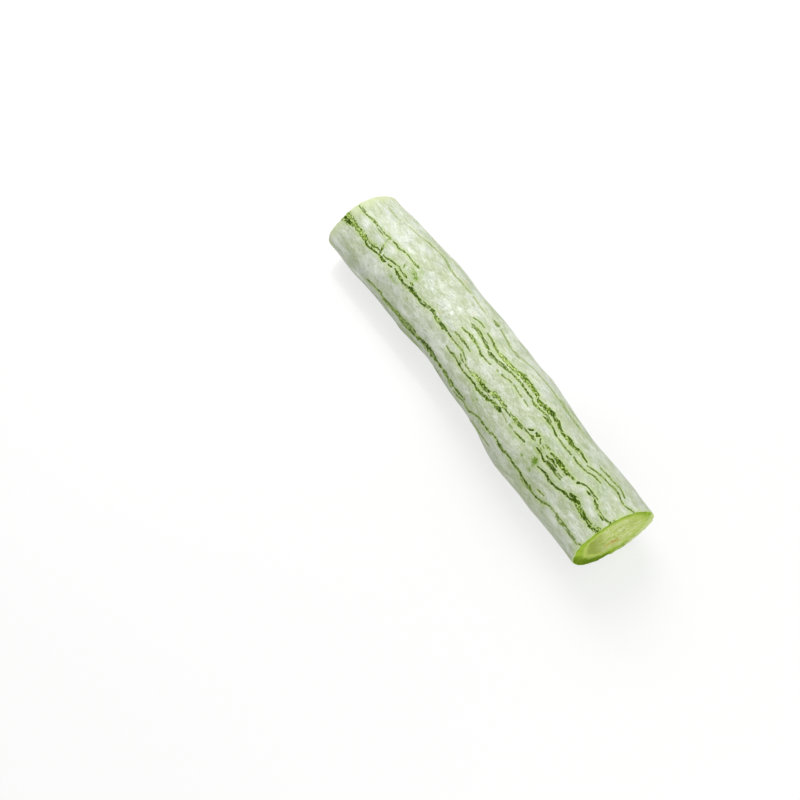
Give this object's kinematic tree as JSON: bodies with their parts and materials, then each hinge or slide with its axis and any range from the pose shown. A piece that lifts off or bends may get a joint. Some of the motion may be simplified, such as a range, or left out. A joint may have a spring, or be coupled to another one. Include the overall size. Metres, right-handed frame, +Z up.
{
  "type": "cut length of snake gourd",
  "caption": "Slightly bent cylinder of pale, green-striped snake gourd with a knife cut across each end; a vegetable prop that lies on its flattened belly.",
  "frame": {"origin": "centre of the underside of the bounding box, on the surface that the gourd lies on", "axes": "+X along the fruit, from the thinner stem end to the thicker flower end; +Z up"},
  "size_m": [0.2526, 0.0562, 0.0555],
  "materials": {
    "gourd_skin": "satin"
  },
  "bodies": {
    "root": {"snake_gourd": "gourd_skin"}
  },
  "joints": []
}
